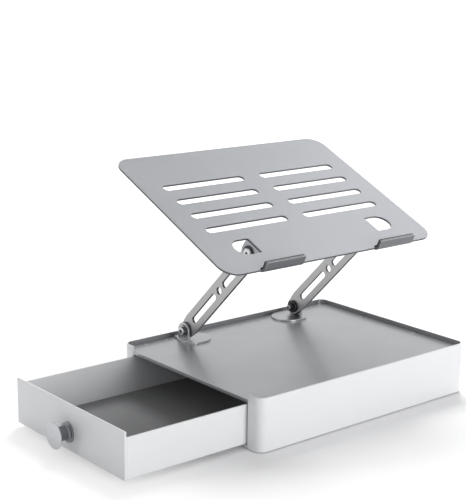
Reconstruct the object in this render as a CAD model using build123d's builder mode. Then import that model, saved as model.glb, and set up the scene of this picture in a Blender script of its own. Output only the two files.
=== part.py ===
"""Laptop stand with a drawer: a low steel box, two folding arms and a tilted plate.

X runs along the box, with the drawer opening towards -X. Y runs from the front to the
back and Z is up. The origin is on the table, under the middle of the box. Millimetres.
The drawer is drawn half open and the arms stand half raised, as the stand is used.
"""
import os
from math import cos, radians, sin

from build123d import *

# Box
BASE_LENGTH = 290.0
BASE_DEPTH = 222.0
SHELL_HEIGHT = 54.0
SHELL_WALL = 1.6
CORNER_RADIUS = 9.2
RETURN_LENGTH = 18.0
RIM_DEPTH = 5.0
EDGE_ROUND = 0.5
FIT_GAP = 0.1
FLOOR_SHEET = 1.5
FLOOR_HEM = 3.0
TRAY_SHEET = 1.5
TRAY_HEM = 3.5
HEM_WIDTH = 1.5

# Feet
FOOT_HEIGHT = 1.0
FOOT_RADIUS = 8.0
FOOT_INSET = 22.0

# Ledges that carry the tray
LEDGE_WIDTH = 8.0
LEDGE_DROP = 8.0
LEDGE_SHEET = 1.2
LEDGE_END_GAP = 25.0
RIVET_RADIUS = 1.2
RIVET_HEAD_RADIUS = 2.6
RIVET_HEAD = 0.4
RIVET_TAIL_RADIUS = 2.0
RIVET_TAIL = 0.8
RIVET_OUTER_X = 120.0
RIVET_INNER_X = 92.0
RIVET_SIDE_Y = 41.0
HOLE_GAP = 0.1

# Drawer
DRAWER_OPEN = 140.0
DRAWER_LENGTH = 270.0
OPENING_GAP = 1.5
PANEL_THICKNESS = 2.0
PANEL_HEIGHT = 46.0
DRAWER_SIDE_HEIGHT = 40.4
DRAWER_SHEET = 1.2
DRAWER_BEND = 2.0
GLIDE_THICKNESS = 2.0
GLIDE_WIDTH = 12.0
GLIDE_SPREAD = 120.0
GLIDE_GAP = 0.1
GUIDE_HEIGHT = 12.0
GUIDE_WIDTH = 11.0
GUIDE_SHEET = 1.2
GUIDE_GAP = 0.6
GUIDE_END_GAP = 6.0
EXTRA_TRAVEL = 85.0
CLOSED_GAP = 0.3
STOP_TAB = 1.5
STOP_TAB_WIDTH = 24.0
STOP_LENGTH = 12.0
STOP_WIDTH = 60.0
STOP_HEIGHT = 1.6
LINER_THICKNESS = 1.0
LINER_GAP = 0.6
LINER_CORNER = 3.0
PANEL_RIVET_SPREAD = 120.0
PANEL_RIVET_DEPTH = 1.1

# Knob
KNOB_HEIGHT = 18.0
KNOB_FLANGE_RADIUS = 10.0
KNOB_FLANGE = 1.6
KNOB_FLARE_END = 4.6
KNOB_NECK_RADIUS = 6.9
KNOB_NECK_END = 11.5
KNOB_HEAD_RADIUS = 13.0
KNOB_HEAD_BACK = 14.6
KNOB_RIM = 1.6
KNOB_DOME = 0.8
KNOB_SCREW_RADIUS = 2.0
KNOB_SCREW_DEPTH = 8.0
KNOB_SCREW_HEAD_RADIUS = 4.0
KNOB_SCREW_HEAD = 2.2

# Hinge brackets
PIVOT_INSET = 23.0
PIVOT_HEIGHT = 11.8
BRACKET_SHEET = 2.2
BRACKET_FOOT_RADIUS = 18.5
BRACKET_FOOT_LENGTH = 33.0
BRACKET_CORNER = 4.0
BRACKET_EAR_RADIUS = 9.0
STIFFENER_LENGTH = 192.0
STIFFENER_WIDTH = 24.0
STIFFENER_SHEET = 1.6
BRACKET_SCREW_RADIUS = 1.5
BRACKET_SCREW_HEAD_RADIUS = 2.8
BRACKET_SCREW_HEAD = 1.4
BRACKET_SCREW_SPREAD = 20.0
BRACKET_SCREW_PITCH = 18.0
SCREW_POINT_GAP = 0.7

# Arms
ARM_LENGTH = 150.3
ARM_WIDTH = 22.7
ARM_THICKNESS = 3.0
ARM_INNER_X = 76.5
ARM_END_RADIUS = 9.2
ARM_LOWER_NECK = 12.0
ARM_UPPER_NECK = 25.0
ARM_RISE = 45.0
SLOT_WIDTH = 7.3
LOWER_SLOT_START = 17.4
LOWER_SLOT_END = 70.6
ARM_HOLE_AT = 79.0
ARM_HOLE_RADIUS = 4.0
UPPER_SLOT_START = 87.6
UPPER_SLOT_END = 135.0
ARM_EDGE = 0.4

# Pivot bolts, washers and nuts
BOLT_RADIUS = 2.5
RUNNING_GAP = 0.05
SPACER_THICKNESS = 1.0
SPACER_RADIUS = 9.3
LOWER_WASHER = 1.0
LOWER_WASHER_RADIUS = 6.5
LOWER_HEAD_RADIUS = 4.9
LOWER_HEAD = 2.8
SOCKET_RADIUS = 1.7
SOCKET_DEPTH = 1.4
DISC_SPRING = 2.4
DISC_SPRING_RADIUS = 7.2
NUT_RADIUS = 4.6
NUT_THICKNESS = 2.8
NUT_BEVEL = 0.8
NUT_TAPER = 12.0
BOLT_END = 2.4
BOLT_POINT = 0.4
UPPER_GAP = 1.0
UPPER_WASHER = 1.0
UPPER_WASHER_RADIUS = 7.8
UPPER_HEAD_RADIUS = 5.5
UPPER_HEAD = 2.2
UPPER_SPRING = 1.4
SLIP_GAP = 0.05
RIM_SHARE = 0.3
CROWN_SHARE = 0.6

# Plate
PLATE_WIDTH = 289.0
PLATE_DEPTH = 208.0
PLATE_SHEET = 2.4
PLATE_CORNER = 18.0
PLATE_TILT = 24.0
PLATE_PIVOT_BACK = 41.0
PLATE_PIVOT_DROP = 12.2
VENT_LENGTH = 106.5
VENT_WIDTH = 9.4
VENT_SPREAD = 130.3
VENT_FIRST = 71.4
VENT_PITCH = 25.8
VENT_ROWS = 4
EAR_RADIUS = 11.5
EAR_HOLE_BACK = 37.6
EAR_HOLE_RADIUS = 12.1
EAR_HOLE_REACH = 24.8
HOOK_SPREAD = 156.0
HOOK_WIDTH = 50.8
HOOK_HEIGHT = 11.4
HOOK_REACH = 5.0
HOOK_BEND = 4.2
HOOK_CORNER = 1.6
PLATE_EDGE = 0.5
EAR_BEND = 2.2
PAD_THICKNESS = 2.0
PAD_LENGTH = 50.2
PAD_TOP_GAP = 0.6

# Levels and faces that follow from the sizes above
left_face = -BASE_LENGTH / 2
right_face = BASE_LENGTH / 2
inner_length = BASE_LENGTH - 2 * SHELL_WALL
inner_depth = BASE_DEPTH - 2 * SHELL_WALL
inner_radius = CORNER_RADIUS - SHELL_WALL
opening_width = BASE_DEPTH - 2 * RETURN_LENGTH
floor_bottom = FOOT_HEIGHT
floor_top = floor_bottom + FLOOR_SHEET
shell_top = FOOT_HEIGHT + SHELL_HEIGHT
tray_top_z = shell_top - RIM_DEPTH
tray_bottom_z = tray_top_z - TRAY_SHEET
ledge_bottom_z = tray_bottom_z - LEDGE_SHEET

drawer_width = opening_width - 2 * OPENING_GAP
drawer_z = floor_top + GLIDE_THICKNESS + GLIDE_GAP
panel_outer_x = left_face - DRAWER_OPEN
panel_inner_x = panel_outer_x + PANEL_THICKNESS
box_length = DRAWER_LENGTH - PANEL_THICKNESS
box_back_x = panel_inner_x + box_length
box_middle_x = panel_inner_x + box_length / 2
knob_z = drawer_z + KNOB_HEIGHT

pivot_y = BASE_DEPTH / 2 - PIVOT_INSET
pivot_z = tray_top_z + PIVOT_HEIGHT
arm_outer_x = ARM_INNER_X + ARM_THICKNESS
bracket_ear_x = arm_outer_x + SPACER_THICKNESS
bracket_outer_x = bracket_ear_x + BRACKET_SHEET
upper_ear_x = arm_outer_x + UPPER_GAP
upper_ear_outer_x = upper_ear_x + PLATE_SHEET

upper_pivot_y = pivot_y - ARM_LENGTH * cos(radians(ARM_RISE))
upper_pivot_z = pivot_z + ARM_LENGTH * sin(radians(ARM_RISE))
tilt_cos = cos(radians(PLATE_TILT))
tilt_sin = sin(radians(PLATE_TILT))
plate_front_y = upper_pivot_y - PLATE_PIVOT_BACK * tilt_cos - PLATE_PIVOT_DROP * tilt_sin
plate_front_z = upper_pivot_z - PLATE_PIVOT_BACK * tilt_sin + PLATE_PIVOT_DROP * tilt_cos

# The plate's top face, its side view (back, up), and the arms' side view (along, down)
plate_plane = Plane(
    origin=(0, plate_front_y, plate_front_z), x_dir=(1, 0, 0), z_dir=(0, -tilt_sin, tilt_cos)
)
plate_side = Plane(
    origin=(0, plate_front_y, plate_front_z), x_dir=(0, tilt_cos, tilt_sin), z_dir=(1, 0, 0)
)
arm_side = Plane(
    origin=(0, pivot_y, pivot_z),
    x_dir=(0, -cos(radians(ARM_RISE)), sin(radians(ARM_RISE))),
    z_dir=(1, 0, 0),
)
lower_pivot = (pivot_y, pivot_z)
upper_pivot = (upper_pivot_y, upper_pivot_z)
SIDES = (("left", -1), ("right", 1))

os.makedirs("parts", exist_ok=True)


def save(piece, name):
    """Label a finished piece and write it under its own name."""
    piece.part.label = name
    export_step(piece.part, f"parts/{name}.step")


def cross_plane(side, x):
    """A plane across X, |x| out from the middle on one side, facing outwards."""
    return Plane(origin=(side * x, 0, 0), x_dir=(0, side, 0), z_dir=(side, 0, 0))


def washer(side, x, thickness, radius, centre, rounded=False):
    """Round piece on a pivot, from |x| outwards, with a flat or a rounded rim."""
    with BuildPart() as piece:
        with BuildSketch(cross_plane(side, x)):
            with Locations((side * centre[0], centre[1])):
                Circle(radius)
                Circle(BOLT_RADIUS + RUNNING_GAP, mode=Mode.SUBTRACT)
        extrude(amount=thickness)
        if rounded:
            outer = piece.edges().filter_by(GeomType.CIRCLE).sort_by(SortBy.RADIUS)[-2:]
            fillet(outer, thickness * RIM_SHARE)
    return piece


def bolt(side, head_x, head_radius, head_height, end_x, centre):
    """Domed socket-head bolt: the head stands outside head_x, the shank runs in to end_x."""
    spot = (side * centre[0], centre[1])
    with BuildPart() as piece:
        with BuildSketch(cross_plane(side, end_x)):
            with Locations(spot):
                Circle(BOLT_RADIUS)
        extrude(amount=head_x - end_x)
        chamfer(piece.faces().sort_by(Axis.X)[0 if side > 0 else -1].edges(), BOLT_POINT)
        with BuildSketch(cross_plane(side, head_x)):
            with Locations(spot):
                Circle(head_radius)
        extrude(amount=head_height)
        crown = piece.faces().sort_by(Axis.X)[-1 if side > 0 else 0]
        fillet(crown.edges(), head_height * CROWN_SHARE)
        with BuildSketch(cross_plane(side, head_x + head_height - SOCKET_DEPTH)):
            with Locations(spot):
                RegularPolygon(SOCKET_RADIUS, 6)
        extrude(amount=SOCKET_DEPTH, mode=Mode.SUBTRACT)
    return piece


def nut(side, x, centre):
    """Hexagon nut whose inner face is at |x|."""
    with BuildPart() as piece:
        with BuildSketch(cross_plane(side, x)):
            with Locations((side * centre[0], centre[1])):
                RegularPolygon(NUT_RADIUS, 6)
        extrude(amount=NUT_THICKNESS)
        with BuildSketch(cross_plane(side, x)):
            with Locations((side * centre[0], centre[1])):
                Circle(NUT_RADIUS - NUT_BEVEL / 2)
        extrude(amount=NUT_THICKNESS, taper=-NUT_TAPER, mode=Mode.INTERSECT)
        with BuildSketch(cross_plane(side, x)):
            with Locations((side * centre[0], centre[1])):
                Circle(BOLT_RADIUS + RUNNING_GAP)
        extrude(amount=NUT_THICKNESS, mode=Mode.SUBTRACT)
    return piece


# Box shell: one folded wall round the front, right and back, with short returns at the left
with BuildPart() as base_shell:
    with BuildSketch(Plane.XY.offset(floor_bottom)):
        RectangleRounded(BASE_LENGTH, BASE_DEPTH, CORNER_RADIUS)
        RectangleRounded(inner_length, inner_depth, inner_radius, mode=Mode.SUBTRACT)
        with Locations((left_face, 0)):
            Rectangle(4 * SHELL_WALL, opening_width, mode=Mode.SUBTRACT)
    extrude(amount=SHELL_HEIGHT)
    fillet(base_shell.faces().sort_by(Axis.Z)[-1].edges(), EDGE_ROUND)
save(base_shell, "base_shell")


def inside_sheet(bottom, sheet, hem_bottom, hem_height, holes=()):
    """Flat sheet that fills the shell and reaches out through the opening to a folded hem."""
    tongue = SHELL_WALL + CORNER_RADIUS
    with BuildPart() as piece:
        with BuildSketch(Plane.XY.offset(bottom)):
            RectangleRounded(
                inner_length - 2 * FIT_GAP, inner_depth - 2 * FIT_GAP, inner_radius - FIT_GAP
            )
            with Locations((left_face + tongue / 2, 0)):
                Rectangle(tongue, opening_width - 2 * FIT_GAP)
        extrude(amount=sheet)
        with BuildSketch(Plane.XY.offset(hem_bottom)):
            with Locations((left_face + HEM_WIDTH / 2, 0)):
                Rectangle(HEM_WIDTH, opening_width - 2 * FIT_GAP)
        extrude(amount=hem_height)
        nose = piece.edges().filter_by(Axis.Y).group_by(Axis.X)[0].sort_by(Axis.Z)
        fillet(nose[-1], EDGE_ROUND)
        for spots, radius in holes:
            with BuildSketch(Plane.XY.offset(bottom)):
                with Locations(*spots):
                    Circle(radius + HOLE_GAP)
            extrude(amount=sheet, mode=Mode.SUBTRACT)
    return piece


# Bottom sheet of the box, its edge turned up under the drawer
base_floor = inside_sheet(floor_bottom, FLOOR_SHEET, floor_bottom, FLOOR_HEM)
save(base_floor, "base_floor")

ledge_x = inner_length / 2 - LEDGE_WIDTH / 2
ledge_y = inner_depth / 2 - LEDGE_WIDTH / 2
rivet_spots = [
    (x, y)
    for x in (-RIVET_OUTER_X, -RIVET_INNER_X, RIVET_INNER_X, RIVET_OUTER_X)
    for y in (-ledge_y, ledge_y)
]
rivet_spots += [(ledge_x, -RIVET_SIDE_Y), (ledge_x, RIVET_SIDE_Y)]
screw_spots = [
    (side * (ARM_INNER_X - reach), pivot_y + y)
    for side in (-1, 1)
    for reach, y in (
        (0, -BRACKET_SCREW_SPREAD / 2),
        (0, BRACKET_SCREW_SPREAD / 2),
        (BRACKET_SCREW_PITCH, 0),
    )
]

# Top tray: silver sheet sunk below the rim, its free edge turned down over the drawer
tray_holes = ((rivet_spots, RIVET_RADIUS), (screw_spots, BRACKET_SCREW_RADIUS))
tray_top = inside_sheet(
    tray_bottom_z, TRAY_SHEET, tray_top_z - TRAY_HEM, TRAY_HEM, tray_holes
)
save(tray_top, "tray_top")

# Angle strips welded inside the walls; the tray is riveted down on them
ledges = (
    ("tray_ledge_front", (0, -ledge_y), BASE_LENGTH - 2 * LEDGE_END_GAP, LEDGE_WIDTH),
    ("tray_ledge_back", (0, ledge_y), BASE_LENGTH - 2 * LEDGE_END_GAP, LEDGE_WIDTH),
    ("tray_ledge_right", (ledge_x, 0), LEDGE_WIDTH, BASE_DEPTH - 2 * LEDGE_END_GAP),
)
for name, centre, size_x, size_y in ledges:
    along_x = size_x > size_y
    leg_x = size_x if along_x else LEDGE_SHEET
    leg_y = LEDGE_SHEET if along_x else size_y
    leg_centre = (
        centre[0] if along_x else centre[0] + (LEDGE_WIDTH - LEDGE_SHEET) / 2,
        centre[1] + (LEDGE_WIDTH - LEDGE_SHEET) / 2 * (1 if centre[1] > 0 else -1)
        if along_x
        else 0,
    )
    with BuildPart() as ledge:
        with BuildSketch(Plane.XY.offset(ledge_bottom_z)):
            with Locations(centre):
                Rectangle(size_x, size_y)
            with Locations(*rivet_spots):
                Circle(RIVET_RADIUS + HOLE_GAP, mode=Mode.SUBTRACT)
        extrude(amount=LEDGE_SHEET)
        with BuildSketch(Plane.XY.offset(ledge_bottom_z - LEDGE_DROP)):
            with Locations(leg_centre):
                Rectangle(leg_x, leg_y)
        extrude(amount=LEDGE_DROP)
    save(ledge, name)

# Low rivets through tray and ledges
with BuildPart() as tray_rivets:
    with BuildSketch(Plane.XY.offset(ledge_bottom_z - RIVET_TAIL)):
        with Locations(*rivet_spots):
            Circle(RIVET_TAIL_RADIUS)
    extrude(amount=RIVET_TAIL)
    with BuildSketch(Plane.XY.offset(ledge_bottom_z)):
        with Locations(*rivet_spots):
            Circle(RIVET_RADIUS)
    extrude(amount=LEDGE_SHEET + TRAY_SHEET)
    with BuildSketch(Plane.XY.offset(tray_top_z)):
        with Locations(*rivet_spots):
            Circle(RIVET_HEAD_RADIUS)
    extrude(amount=RIVET_HEAD)
save(tray_rivets, "tray_rivets")

# Rubber feet stuck under the bottom sheet
with BuildPart() as rubber_feet:
    with BuildSketch(Plane.XY):
        with GridLocations(BASE_LENGTH - 2 * FOOT_INSET, BASE_DEPTH - 2 * FOOT_INSET, 2, 2):
            Circle(FOOT_RADIUS)
    extrude(amount=FOOT_HEIGHT)
    fillet(rubber_feet.edges().group_by(Axis.Z)[0], EDGE_ROUND)
save(rubber_feet, "rubber_feet")

# Guide angles on the floor, one along each side of the drawer
guide_length = BASE_LENGTH - SHELL_WALL - 2 * GUIDE_END_GAP
guide_x = left_face + GUIDE_END_GAP + guide_length / 2
guide_inner_y = drawer_width / 2 + GUIDE_GAP
for name, side in (("drawer_guide_front", -1), ("drawer_guide_back", 1)):
    with BuildPart() as guide:
        with BuildSketch(Plane.XY.offset(floor_top)):
            with Locations((guide_x, side * (guide_inner_y + GUIDE_WIDTH / 2))):
                Rectangle(guide_length, GUIDE_WIDTH)
        extrude(amount=GUIDE_SHEET)
        with BuildSketch(Plane.XY.offset(floor_top)):
            with Locations((guide_x, side * (guide_inner_y + GUIDE_SHEET / 2))):
                Rectangle(guide_length, GUIDE_SHEET)
        extrude(amount=GUIDE_HEIGHT)
    save(guide, name)

# Nylon strips that the drawer slides on
with BuildPart() as drawer_glides:
    with BuildSketch(Plane.XY.offset(floor_top)):
        with Locations((guide_x, -GLIDE_SPREAD / 2), (guide_x, GLIDE_SPREAD / 2)):
            Rectangle(guide_length, GLIDE_WIDTH)
    extrude(amount=GLIDE_THICKNESS)
save(drawer_glides, "drawer_glides")

# Stop bar on the floor: it catches the tab under the drawer's back wall
tab_x = box_back_x - DRAWER_SHEET
stop_right_x = tab_x - EXTRA_TRAVEL - CLOSED_GAP
with BuildPart() as drawer_stop:
    with BuildSketch(Plane.XY.offset(floor_top)):
        with Locations((stop_right_x - STOP_LENGTH / 2, 0)):
            Rectangle(STOP_LENGTH, STOP_WIDTH)
    extrude(amount=STOP_HEIGHT)
save(drawer_stop, "drawer_stop")

# Drawer box: folded sheet, open at the top, with the stop tab below its back wall
panel_rivets = [(y, knob_z) for y in (-PANEL_RIVET_SPREAD / 2, PANEL_RIVET_SPREAD / 2)]
with BuildPart() as drawer_box:
    with BuildSketch(Plane.XY.offset(drawer_z)):
        with Locations((box_middle_x, 0)):
            Rectangle(box_length, drawer_width)
    extrude(amount=DRAWER_SIDE_HEIGHT)
    fillet(drawer_box.faces().sort_by(Axis.Z)[0].edges().filter_by(Axis.X), DRAWER_BEND)
    with BuildSketch(Plane.XY.offset(drawer_z + DRAWER_SHEET)):
        with Locations((box_middle_x, 0)):
            Rectangle(box_length - 2 * DRAWER_SHEET, drawer_width - 2 * DRAWER_SHEET)
    extrude(amount=DRAWER_SIDE_HEIGHT - DRAWER_SHEET, mode=Mode.SUBTRACT)
    with BuildSketch(Plane.XY.offset(drawer_z - STOP_TAB)):
        with Locations((tab_x + DRAWER_SHEET / 2, 0)):
            Rectangle(DRAWER_SHEET, STOP_TAB_WIDTH)
    extrude(amount=STOP_TAB)
    with BuildSketch(Plane.YZ.offset(panel_inner_x)):
        with Locations(*panel_rivets):
            Circle(RIVET_RADIUS + HOLE_GAP)
        with Locations((0, knob_z)):
            Circle(KNOB_SCREW_RADIUS + HOLE_GAP)
    extrude(amount=DRAWER_SHEET, mode=Mode.SUBTRACT)
save(drawer_box, "drawer_box")

# Grey foam liner lying on the drawer's floor
with BuildPart() as drawer_liner:
    with BuildSketch(Plane.XY.offset(drawer_z + DRAWER_SHEET)):
        with Locations((box_middle_x, 0)):
            RectangleRounded(
                box_length - 2 * (DRAWER_SHEET + LINER_GAP),
                drawer_width - 2 * (DRAWER_SHEET + LINER_GAP),
                LINER_CORNER,
            )
    extrude(amount=LINER_THICKNESS)
save(drawer_liner, "drawer_liner")

# Drawer front: a plain panel, taller than the box behind it
with BuildPart() as drawer_front:
    with BuildSketch(Plane.YZ.offset(panel_outer_x)):
        with Locations((0, drawer_z + PANEL_HEIGHT / 2)):
            Rectangle(drawer_width, PANEL_HEIGHT)
    extrude(amount=PANEL_THICKNESS)
    fillet(drawer_front.edges().filter_by(Axis.X), EDGE_ROUND)
    fillet(drawer_front.faces().sort_by(Axis.X)[0].edges(), EDGE_ROUND)
    with BuildSketch(Plane.YZ.offset(panel_inner_x - PANEL_RIVET_DEPTH)):
        with Locations(*panel_rivets):
            Circle(RIVET_RADIUS + HOLE_GAP)
    extrude(amount=PANEL_RIVET_DEPTH, mode=Mode.SUBTRACT)
    with BuildSketch(Plane.YZ.offset(panel_outer_x)):
        with Locations((0, knob_z)):
            Circle(KNOB_SCREW_RADIUS + HOLE_GAP)
    extrude(amount=PANEL_THICKNESS, mode=Mode.SUBTRACT)
save(drawer_front, "drawer_front")

# Rivets that hold the panel on the box
box_front_inner_x = panel_inner_x + DRAWER_SHEET
with BuildPart() as drawer_rivets:
    with BuildSketch(Plane.YZ.offset(panel_inner_x - PANEL_RIVET_DEPTH + HOLE_GAP)):
        with Locations(*panel_rivets):
            Circle(RIVET_RADIUS)
    extrude(amount=PANEL_RIVET_DEPTH - HOLE_GAP + DRAWER_SHEET)
    with BuildSketch(Plane.YZ.offset(box_front_inner_x)):
        with Locations(*panel_rivets):
            Circle(RIVET_HEAD_RADIUS)
    extrude(amount=RIVET_TAIL)
save(drawer_rivets, "drawer_rivets")

# Knob: turned metal, a round head on a waisted neck and a flared foot
knob_axis = Plane(origin=(panel_outer_x, 0, knob_z), x_dir=(-1, 0, 0), z_dir=(0, 1, 0))
knob_face = KNOB_HEAD_BACK + KNOB_RIM
with BuildPart() as drawer_knob:
    with BuildSketch(knob_axis):
        with BuildLine():
            Polyline((0, 0), (0, KNOB_FLANGE_RADIUS), (KNOB_FLANGE, KNOB_FLANGE_RADIUS))
            Bezier(
                (KNOB_FLANGE, KNOB_FLANGE_RADIUS),
                (KNOB_FLANGE, KNOB_NECK_RADIUS),
                (KNOB_FLARE_END, KNOB_NECK_RADIUS),
            )
            Line((KNOB_FLARE_END, KNOB_NECK_RADIUS), (KNOB_NECK_END, KNOB_NECK_RADIUS))
            Bezier(
                (KNOB_NECK_END, KNOB_NECK_RADIUS),
                (KNOB_HEAD_BACK, KNOB_NECK_RADIUS),
                (KNOB_HEAD_BACK, KNOB_HEAD_RADIUS - EDGE_ROUND),
            )
            Polyline(
                (KNOB_HEAD_BACK, KNOB_HEAD_RADIUS - EDGE_ROUND),
                (KNOB_HEAD_BACK + EDGE_ROUND, KNOB_HEAD_RADIUS),
                (knob_face - EDGE_ROUND, KNOB_HEAD_RADIUS),
                (knob_face, KNOB_HEAD_RADIUS - EDGE_ROUND),
            )
            TangentArc(
                (knob_face + KNOB_DOME, 0),
                (knob_face, KNOB_HEAD_RADIUS - EDGE_ROUND),
                tangent=(0, 1),
            )
            Line((knob_face + KNOB_DOME, 0), (0, 0))
        make_face()
    revolve(axis=Axis((panel_outer_x, 0, knob_z), (1, 0, 0)))
    with BuildSketch(Plane.YZ.offset(panel_outer_x - KNOB_SCREW_DEPTH)):
        with Locations((0, knob_z)):
            Circle(KNOB_SCREW_RADIUS + HOLE_GAP)
    extrude(amount=KNOB_SCREW_DEPTH, mode=Mode.SUBTRACT)
save(drawer_knob, "drawer_knob")

# Screw from inside the drawer into the knob
with BuildPart() as knob_screw:
    with BuildSketch(Plane.YZ.offset(panel_outer_x - KNOB_SCREW_DEPTH + 2 * HOLE_GAP)):
        with Locations((0, knob_z)):
            Circle(KNOB_SCREW_RADIUS)
    extrude(amount=KNOB_SCREW_DEPTH - 2 * HOLE_GAP + PANEL_THICKNESS + DRAWER_SHEET)
    with BuildSketch(Plane.YZ.offset(box_front_inner_x)):
        with Locations((0, knob_z)):
            Circle(KNOB_SCREW_HEAD_RADIUS)
    extrude(amount=KNOB_SCREW_HEAD)
    fillet(knob_screw.faces().sort_by(Axis.X)[-1].edges(), KNOB_SCREW_HEAD / 2)
save(knob_screw, "knob_screw")

# Flat bar under the tray that spreads the hinge load
with BuildPart() as hinge_stiffener:
    with BuildSketch(Plane.XY.offset(tray_bottom_z - STIFFENER_SHEET)):
        with Locations((0, pivot_y)):
            Rectangle(STIFFENER_LENGTH, STIFFENER_WIDTH)
    extrude(amount=STIFFENER_SHEET)
    with Locations(*[
        Location((x, y, tray_bottom_z - STIFFENER_SHEET), (180, 0, 0)) for x, y in screw_spots
    ]):
        CounterSinkHole(
            BRACKET_SCREW_RADIUS + HOLE_GAP,
            BRACKET_SCREW_HEAD_RADIUS + HOLE_GAP,
            counter_sink_angle=90,
        )
save(hinge_stiffener, "hinge_stiffener")

# Screws from below into the bracket feet
screw_top_z = tray_top_z + BRACKET_SHEET - SCREW_POINT_GAP
with BuildPart() as bracket_screws:
    with BuildSketch(Plane.XY.offset(tray_bottom_z - STIFFENER_SHEET)):
        with Locations(*screw_spots):
            Circle(BRACKET_SCREW_RADIUS)
    extrude(amount=screw_top_z - tray_bottom_z + STIFFENER_SHEET)
    head = tray_bottom_z - STIFFENER_SHEET
    with Locations(*[(x, y, head) for x, y in screw_spots]):
        Cone(
            BRACKET_SCREW_HEAD_RADIUS,
            BRACKET_SCREW_RADIUS,
            BRACKET_SCREW_HEAD_RADIUS - BRACKET_SCREW_RADIUS,
            align=(Align.CENTER, Align.CENTER, Align.MIN),
        )
save(bracket_screws, "bracket_screws")

# Hinge brackets: bent sheet, a round-ended foot on the tray and an upright ear
foot_end_x = bracket_outer_x - BRACKET_FOOT_LENGTH
foot_round_x = foot_end_x + BRACKET_FOOT_RADIUS
for side_name, side in SIDES:
    with BuildPart() as bracket:
        with BuildSketch(Plane.XY.offset(tray_top_z)) as foot_shape:
            with Locations((side * (foot_round_x + bracket_outer_x) / 2, pivot_y)):
                Rectangle(bracket_outer_x - foot_round_x, 2 * BRACKET_FOOT_RADIUS)
            with Locations((side * foot_round_x, pivot_y)):
                Circle(BRACKET_FOOT_RADIUS)
            outer_corners = foot_shape.vertices().group_by(Axis.X)[-1 if side > 0 else 0]
            fillet(outer_corners, BRACKET_CORNER)
        extrude(amount=BRACKET_SHEET)
        foot_top = bracket.faces().sort_by(Axis.Z)[-1]
        fillet(foot_top.edges(), EDGE_ROUND)
        with BuildSketch(cross_plane(side, bracket_ear_x)):
            with Locations((side * pivot_y, pivot_z)):
                Circle(BRACKET_EAR_RADIUS)
            with Locations((side * pivot_y, (pivot_z + tray_top_z) / 2)):
                Rectangle(2 * BRACKET_EAR_RADIUS, pivot_z - tray_top_z)
        extrude(amount=BRACKET_SHEET)
        with BuildSketch(cross_plane(side, bracket_ear_x)):
            with Locations((side * pivot_y, pivot_z)):
                Circle(BOLT_RADIUS + RUNNING_GAP)
        extrude(amount=BRACKET_SHEET, mode=Mode.SUBTRACT)
        with BuildSketch(Plane.XY.offset(tray_top_z)):
            with Locations(*screw_spots):
                Circle(BRACKET_SCREW_RADIUS + HOLE_GAP)
        extrude(amount=BRACKET_SHEET - SCREW_POINT_GAP + HOLE_GAP, mode=Mode.SUBTRACT)
    save(bracket, f"hinge_bracket_{side_name}")

# Arms: flat bars with two slots and a round hole between them
for side_name, side in SIDES:
    inner_face = arm_side.offset(ARM_INNER_X if side > 0 else -arm_outer_x)
    with BuildPart() as arm:
        with BuildSketch(inner_face):
            with Locations((0, 0), (ARM_LENGTH, 0)):
                Circle(ARM_END_RADIUS)
            with Locations(((ARM_LENGTH + ARM_LOWER_NECK - ARM_UPPER_NECK) / 2, 0)):
                Rectangle(ARM_LENGTH - ARM_LOWER_NECK - ARM_UPPER_NECK, ARM_WIDTH)
            make_hull()
        extrude(amount=ARM_THICKNESS)
        chamfer(arm.faces().filter_by(Axis.X).edges(), ARM_EDGE)
        with BuildSketch(inner_face):
            with Locations((0, 0), (ARM_LENGTH, 0)):
                Circle(BOLT_RADIUS + RUNNING_GAP)
            for start, end in (
                (LOWER_SLOT_START, LOWER_SLOT_END),
                (UPPER_SLOT_START, UPPER_SLOT_END),
            ):
                with Locations(((start + end) / 2, 0)):
                    SlotOverall(end - start, SLOT_WIDTH)
            with Locations((ARM_HOLE_AT, 0)):
                Circle(ARM_HOLE_RADIUS)
        extrude(amount=ARM_THICKNESS, mode=Mode.SUBTRACT)
    save(arm, f"arm_{side_name}")

# Lower pivots: bolt, washers, friction spacer, disc springs and nut
lower_head_x = bracket_outer_x + LOWER_WASHER
spring_x = ARM_INNER_X - SLIP_GAP - DISC_SPRING
lower_nut_x = spring_x - NUT_THICKNESS
for side_name, side in SIDES:
    pieces = {
        "lower_bolt": bolt(
            side, lower_head_x, LOWER_HEAD_RADIUS, LOWER_HEAD, lower_nut_x - BOLT_END, lower_pivot
        ),
        "lower_washer": washer(
            side, bracket_outer_x, LOWER_WASHER, LOWER_WASHER_RADIUS, lower_pivot
        ),
        "friction_spacer": washer(
            side, arm_outer_x + SLIP_GAP, SPACER_THICKNESS - SLIP_GAP, SPACER_RADIUS, lower_pivot
        ),
        "disc_spring": washer(
            side, spring_x, DISC_SPRING, DISC_SPRING_RADIUS, lower_pivot, rounded=True
        ),
        "lower_nut": nut(side, lower_nut_x, lower_pivot),
    }
    for name, piece in pieces.items():
        save(piece, f"{name}_{side_name}")

# Plate: slotted sheet with two bent-down ears and two turned-up hooks at the front edge
vent_spots = [
    (side * VENT_SPREAD / 2, VENT_FIRST + row * VENT_PITCH)
    for row in range(VENT_ROWS)
    for side in (-1, 1)
]


def beside_ear(edge):
    """Whether an edge lies where an ear bends down from the sheet."""
    return abs(abs(edge.center().X) - upper_ear_outer_x) < FIT_GAP


def at_hook_top(edge):
    """Whether an edge is a corner of a hook's lip."""
    return plate_plane.to_local_coords(edge.center()).Z > HOOK_HEIGHT - FIT_GAP


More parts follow.
